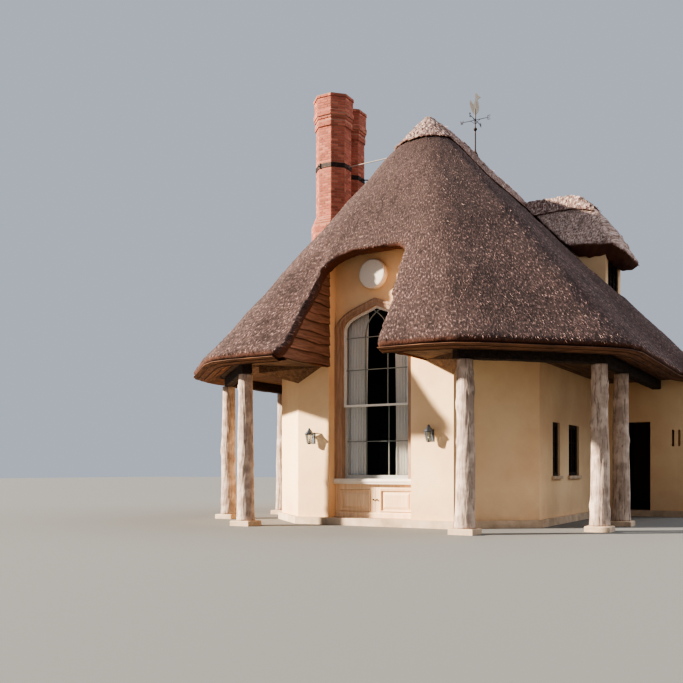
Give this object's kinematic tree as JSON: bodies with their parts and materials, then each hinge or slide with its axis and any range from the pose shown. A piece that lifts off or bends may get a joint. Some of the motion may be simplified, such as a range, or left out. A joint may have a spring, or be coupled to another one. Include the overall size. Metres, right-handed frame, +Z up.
{
  "type": "thatched cottage",
  "caption": "Thatched cottage with a half-octagon garden front, a veranda on tree-trunk posts, a dormer, octagonal brick chimney shafts and a turning weathervane",
  "frame": {"origin": "on the ground under the peak of the roof, on the house's long axis", "axes": "+X to the right along the window front, +Y back into the house, +Z up"},
  "size_m": [10.9, 14.98, 10.885],
  "materials": {
    "wall_render": "lime-washed render, matt",
    "stone": "dressed stone, matt",
    "floor_stone": "flagged floor, matt",
    "white_plaster": "white plaster, matt",
    "moulded_timber": "oiled moulded timber",
    "white_paint": "painted timber, satin",
    "cream_paint": "painted timber panels, worn",
    "pane_glass": "clear window glass",
    "curtain_cloth": "gathered cream cloth",
    "bark": "tree trunk with its bark on",
    "dark_timber": "weathered dark oak",
    "boarding": "rough waney-edged boards",
    "thatch": "weathered straw thatch",
    "ridge_thatch": "block-cut straw capping",
    "red_brick": "red brick in lime mortar",
    "wrought_iron": "dark painted iron",
    "vane_metal": "weathered grey sheet metal",
    "lantern_metal": "aged grey metal"
  },
  "bodies": {
    "root": {"plinth": "stone", "floor": "floor_stone", "front_wall_right": "wall_render", "front_wall_left": "wall_render", "window_wall": "wall_render", "canted_wall_right": "wall_render", "canted_wall_left": "wall_render", "side_wall_right": "wall_render", "side_wall_left": "wall_render", "return_wall_right": "wall_render", "return_wall_left": "wall_render", "rear_side_wall_right": "wall_render", "rear_side_wall_left": "wall_render", "rear_wall": "wall_render", "window_surround": "moulded_timber", "upper_sash": "white_paint", "lower_sash": "white_paint", "window_glass": "pane_glass", "window_sill": "stone", "base_panels": "cream_paint", "curtain_left": "curtain_cloth", "curtain_right": "curtain_cloth", "roundel": "white_plaster", "side_glass_right": "pane_glass", "side_glass_left_front": "pane_glass", "side_glass_left_rear": "pane_glass", "rear_side_glass_right": "pane_glass", "rear_side_glass_left": "pane_glass", "rear_glass": "pane_glass", "post_front_right": "bark", "post_front_left": "bark", "post_corner_right": "bark", "post_corner_left": "bark", "post_side_right": "bark", "post_side_left": "bark", "beam_right": "dark_timber", "beam_left": "dark_timber", "veranda_ceiling_right": "boarding", "veranda_ceiling_left": "boarding", "cheek_right": "boarding", "cheek_left": "boarding", "main_thatch": "thatch", "peak_cap": "ridge_thatch", "ridge_cap": "ridge_thatch", "dormer_thatch": "thatch", "dormer_ridge_cap": "ridge_thatch", "dormer_walls": "wall_render", "dormer_window": "dark_timber", "dormer_glass": "pane_glass", "chimney_base": "red_brick", "chimney_shaft_front": "red_brick", "chimney_shaft_rear": "red_brick", "chimney_strap": "wrought_iron", "chimney_stay_front": "wrought_iron", "chimney_stay_rear": "wrought_iron", "vane_mast": "wrought_iron", "lantern_left": "lantern_metal", "lantern_right": "lantern_metal"},
    "vane": {"vane_figure": "vane_metal"}
  },
  "joints": [
    {"name": "vane_turn", "type": "hinge", "parent": "root", "child": "vane", "pos_m": [0, 2.94, 10.3], "axis": [0, 0, 1], "continuous": true}
  ]
}
